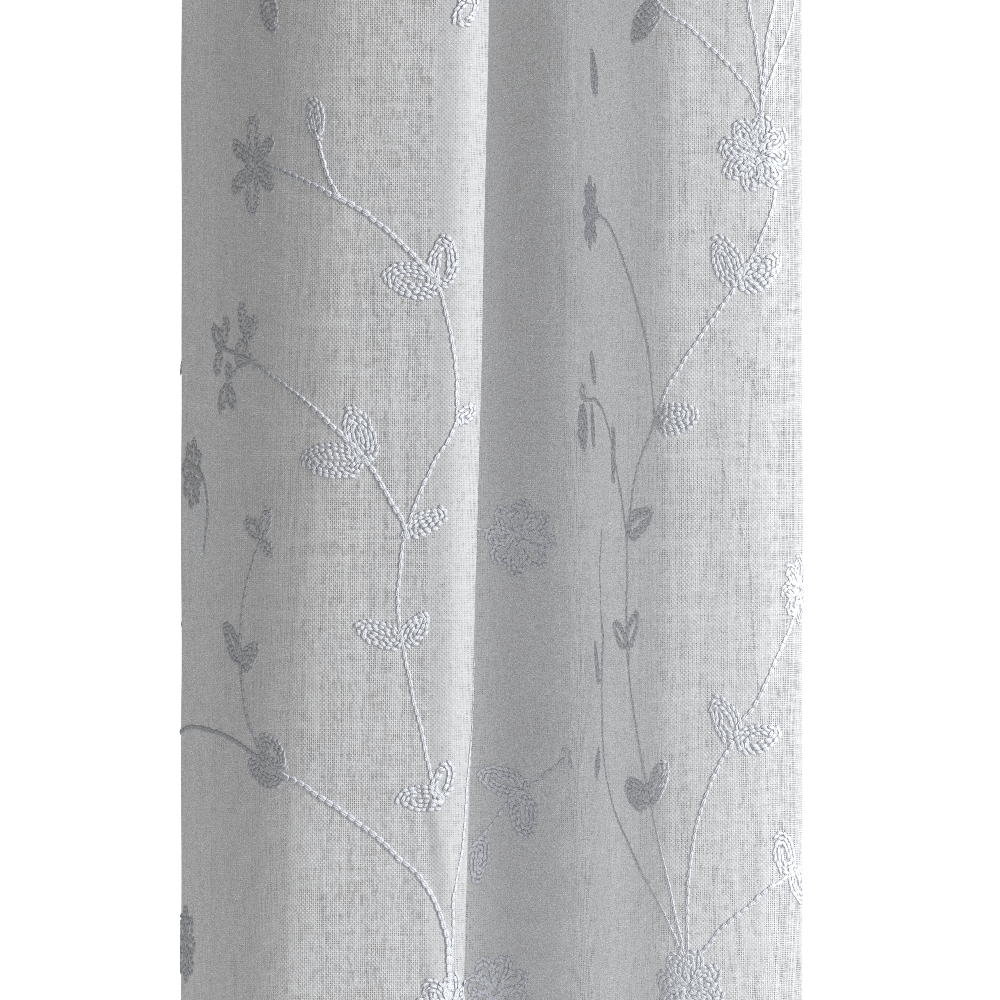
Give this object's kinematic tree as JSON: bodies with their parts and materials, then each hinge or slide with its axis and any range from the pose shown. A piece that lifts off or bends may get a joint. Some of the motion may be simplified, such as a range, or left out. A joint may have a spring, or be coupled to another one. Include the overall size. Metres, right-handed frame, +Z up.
{
  "type": "sheer voile curtain",
  "caption": "Hanging length of sheer open-weave voile in two deep round folds with a set-back valley, with room for chain-stitched vines.",
  "frame": {"origin": "middle of the top edge, where the cloth is held", "axes": "+Z up, the front of the curtain faces -Y, +X to the viewer's right"},
  "size_m": [0.1916, 0.1012, 0.4],
  "materials": {
    "voile": "matt sheer weave",
    "embroidery_thread": "soft satin thread"
  },
  "bodies": {
    "root": {"voile_cloth": "voile"}
  },
  "joints": []
}
